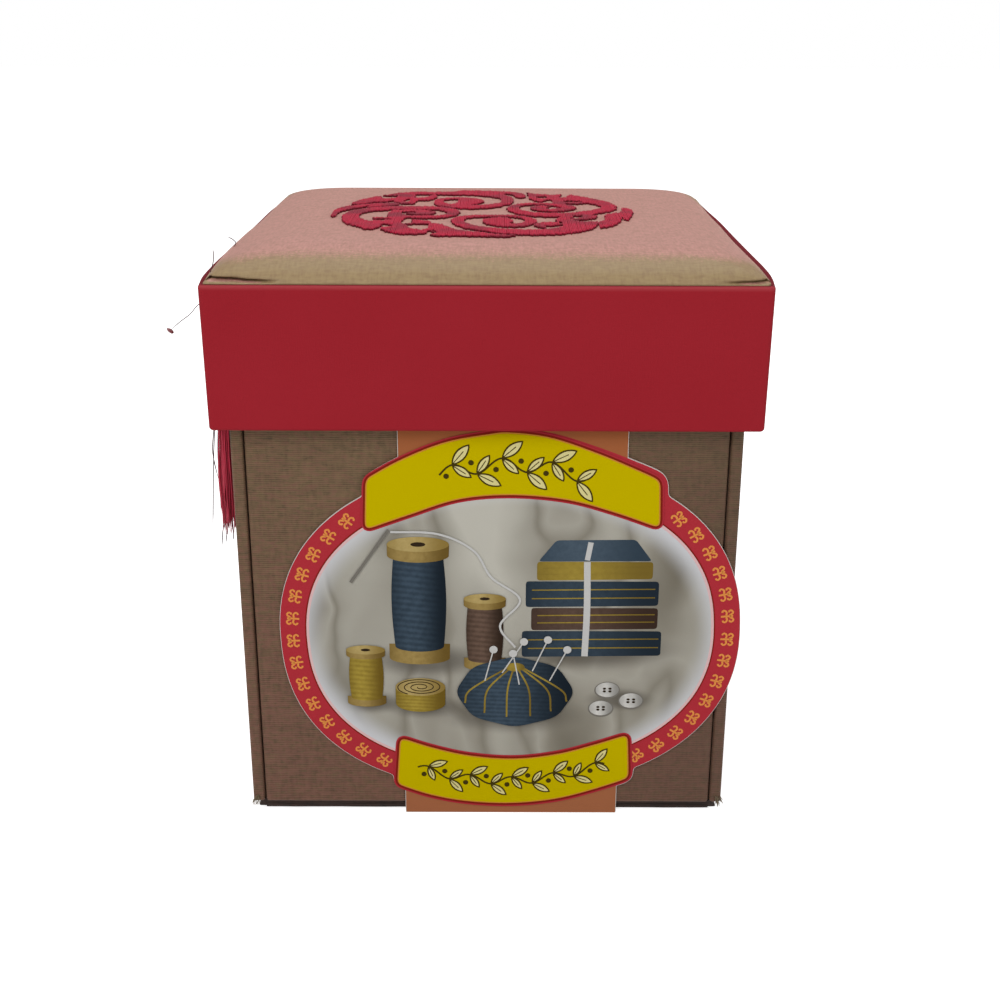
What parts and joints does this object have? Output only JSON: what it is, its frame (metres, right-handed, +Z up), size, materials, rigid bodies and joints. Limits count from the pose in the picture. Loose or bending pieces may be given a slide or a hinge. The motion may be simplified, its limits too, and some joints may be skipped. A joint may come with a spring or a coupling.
{
  "type": "sewing box",
  "caption": "Square cloth-covered sewing box with fold-out walls, a small padded inner box, a cushioned embroidered lid with a tassel, and a printed card sleeve.",
  "frame": {"origin": "on the resting surface, under the middle of the square body", "axes": "+X to the right of the front, +Y to the back, +Z up"},
  "size_m": [0.1293, 0.12, 0.1356],
  "materials": {
    "grey_board": "uncoated card board",
    "ribbed_silk": "taupe ribbed cloth with an olive and red-brown sheen",
    "red_cloth": "deep red bookcloth",
    "cushion_silk": "two-tone silk, pinkish beige and olive gold",
    "satin_stitch": "crimson satin stitch",
    "tassel_thread": "crimson rayon thread",
    "lining_paper": "dark lining cloth",
    "dark_cloth": "dark slate cloth",
    "wadding": "white polyester wadding",
    "printed_card": "coated printed card",
    "white_elastic": "woven white elastic",
    "hinge_cloth": "taupe hinge cloth",
    "white_card": "plain white card",
    "cotton_thread": "sewing cotton",
    "pearl_button": "pearl white"
  },
  "bodies": {
    "base": {"base_board": "grey_board", "base_cover": "ribbed_silk", "base_lining": "lining_paper", "inner_base": "grey_board", "small_box": "dark_cloth", "sleeve_base_strip": "printed_card", "front_wall_hinge": "hinge_cloth", "right_wall_hinge": "hinge_cloth", "back_wall_hinge": "hinge_cloth", "left_wall_hinge": "hinge_cloth", "inner_front_hinge": "hinge_cloth", "inner_right_hinge": "hinge_cloth", "inner_back_hinge": "hinge_cloth", "inner_left_hinge": "hinge_cloth"},
    "lid": {"lid_top_board": "grey_board", "lid_skirt_boards": "grey_board", "lid_cover": "red_cloth", "lid_lining": "lining_paper", "lid_pad": "wadding", "cushion_cover": "cushion_silk", "embroidery": "satin_stitch"},
    "tassel": {"tassel_cord": "tassel_thread", "tassel_head": "tassel_thread", "tassel_threads": "tassel_thread"},
    "front_wall": {"front_wall_board": "grey_board", "front_wall_cover": "ribbed_silk", "front_wall_lining": "lining_paper", "front_wall_elastic": "white_elastic"},
    "right_wall": {"right_wall_board": "grey_board", "right_wall_cover": "ribbed_silk", "right_wall_lining": "lining_paper", "right_wall_elastic": "white_elastic", "thread_card": "white_card", "thread_windings": "cotton_thread"},
    "back_wall": {"back_wall_board": "grey_board", "back_wall_cover": "ribbed_silk", "back_wall_lining": "lining_paper", "back_wall_elastic": "white_elastic"},
    "left_wall": {"left_wall_board": "grey_board", "left_wall_cover": "ribbed_silk", "left_wall_lining": "lining_paper", "left_wall_elastic": "white_elastic", "needle_packet": "white_card"},
    "inner_front": {"inner_front_board": "grey_board", "inner_front_cover": "ribbed_silk"},
    "inner_right": {"inner_right_board": "grey_board", "inner_right_cover": "ribbed_silk"},
    "inner_back": {"inner_back_board": "grey_board", "inner_back_cover": "ribbed_silk", "button_card": "white_card", "buttons": "pearl_button"},
    "inner_left": {"inner_left_board": "grey_board", "inner_left_cover": "ribbed_silk"},
    "small_lid": {"small_lid_tray": "dark_cloth", "pincushion": "dark_cloth"},
    "front_flap": {"sleeve_front_flap": "printed_card"},
    "back_flap": {"sleeve_back_flap": "printed_card"}
  },
  "joints": [
    {"name": "lid_lift", "type": "slide", "parent": "base", "child": "lid", "axis": [0, 0, 1], "range_m": [0, 0.3], "deforming": ["tassel_threads"]},
    {"name": "front_wall_fold", "type": "hinge", "parent": "base", "child": "front_wall", "pos_m": [0, -0.0548, 0.0025], "axis": [1, 0, 0], "range_deg": [0, 90], "deforming": ["front_wall_hinge"]},
    {"name": "right_wall_fold", "type": "hinge", "parent": "base", "child": "right_wall", "pos_m": [0.0548, 0, 0.0025], "axis": [0, 1, 0], "range_deg": [0, 90], "deforming": ["right_wall_hinge"]},
    {"name": "back_wall_fold", "type": "hinge", "parent": "base", "child": "back_wall", "pos_m": [0, 0.0548, 0.0025], "axis": [-1, 0, 0], "range_deg": [0, 90], "deforming": ["back_wall_hinge"]},
    {"name": "left_wall_fold", "type": "hinge", "parent": "base", "child": "left_wall", "pos_m": [-0.0548, 0, 0.0025], "axis": [0, -1, 0], "range_deg": [0, 90], "deforming": ["left_wall_hinge"]},
    {"name": "inner_front_fold", "type": "hinge", "parent": "base", "child": "inner_front", "pos_m": [0, -0.0368, 0.0057], "axis": [1, 0, 0], "range_deg": [0, 60], "deforming": ["inner_front_hinge"]},
    {"name": "inner_right_fold", "type": "hinge", "parent": "base", "child": "inner_right", "pos_m": [0.0368, 0, 0.0057], "axis": [0, 1, 0], "range_deg": [0, 60], "deforming": ["inner_right_hinge"]},
    {"name": "inner_back_fold", "type": "hinge", "parent": "base", "child": "inner_back", "pos_m": [0, 0.0368, 0.0057], "axis": [-1, 0, 0], "range_deg": [0, 60], "deforming": ["inner_back_hinge"]},
    {"name": "inner_left_fold", "type": "hinge", "parent": "base", "child": "inner_left", "pos_m": [-0.0368, 0, 0.0057], "axis": [0, -1, 0], "range_deg": [0, 60], "deforming": ["inner_left_hinge"]},
    {"name": "front_flap_fold", "type": "hinge", "parent": "base", "child": "front_flap", "pos_m": [0.0057, -0.05665, 0.00025], "axis": [1, 0, 0], "range_deg": [0, 90]},
    {"name": "back_flap_fold", "type": "hinge", "parent": "base", "child": "back_flap", "pos_m": [0.0057, 0.05665, 0.00025], "axis": [-1, 0, 0], "range_deg": [0, 90]},
    {"name": "small_lid_lift", "type": "slide", "parent": "base", "child": "small_lid", "axis": [0, 0, 1], "range_m": [0, 0.045]},
    {"name": "tassel_swing", "type": "hinge", "parent": "lid", "child": "tassel", "pos_m": [-0.0608, -0.019, 0.118], "axis": [0, 1, 0], "range_deg": [0, 80]}
  ],
  "couplings": [
    {"joint": "front_wall_fold", "follows": "lid_lift", "rad_per_m": 5.2355},
    {"joint": "right_wall_fold", "follows": "lid_lift", "rad_per_m": 5.2355},
    {"joint": "back_wall_fold", "follows": "lid_lift", "rad_per_m": 5.2355},
    {"joint": "left_wall_fold", "follows": "lid_lift", "rad_per_m": 5.2355},
    {"joint": "inner_front_fold", "follows": "lid_lift", "rad_per_m": 3.4903},
    {"joint": "inner_right_fold", "follows": "lid_lift", "rad_per_m": 3.4903},
    {"joint": "inner_back_fold", "follows": "lid_lift", "rad_per_m": 3.4903},
    {"joint": "inner_left_fold", "follows": "lid_lift", "rad_per_m": 3.4903},
    {"joint": "front_flap_fold", "follows": "lid_lift", "rad_per_m": 5.2355},
    {"joint": "back_flap_fold", "follows": "lid_lift", "rad_per_m": 5.2355}
  ]
}
